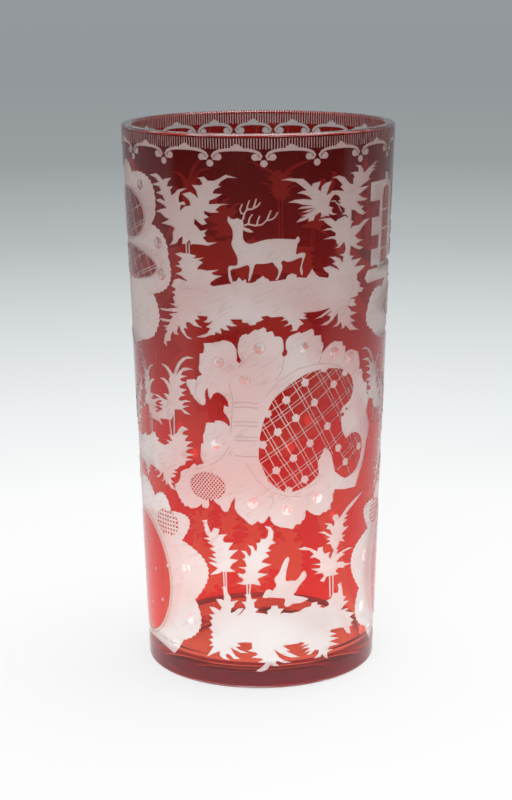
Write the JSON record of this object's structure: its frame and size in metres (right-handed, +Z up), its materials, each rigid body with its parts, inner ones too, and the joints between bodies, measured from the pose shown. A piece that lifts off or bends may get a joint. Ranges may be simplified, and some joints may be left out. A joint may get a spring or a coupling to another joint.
{
  "type": "glass beaker",
  "caption": "Tapered footless glass beaker with a heavy base, cased outside in ruby glass that is cut through with scrolled cartouches, lattice windows and woodland scenes.",
  "frame": {"origin": "centre of the foot, on the surface the glass stands on", "axes": "+Z up along the axis of the glass, -Y out through the front scene with the stag"},
  "size_m": [0.0758, 0.0758, 0.1545],
  "materials": {
    "clear_glass": "polished, frosted where the wheel cut through the casing",
    "ruby_glass": "polished, see-through ruby"
  },
  "bodies": {
    "root": {"clear_body": "clear_glass", "ruby_casing": "ruby_glass", "ruby_window_front": "ruby_glass", "ruby_window_back": "ruby_glass", "ruby_window_left_low": "ruby_glass", "ruby_window_right_low": "ruby_glass", "ruby_window_left_high": "ruby_glass", "ruby_window_left_middle": "ruby_glass", "ruby_window_right_middle": "ruby_glass", "ruby_patch_front": "ruby_glass", "ruby_patch_left": "ruby_glass", "ruby_patch_right": "ruby_glass", "ruby_island_1": "ruby_glass", "ruby_island_2": "ruby_glass", "ruby_island_3": "ruby_glass"}
  },
  "joints": []
}
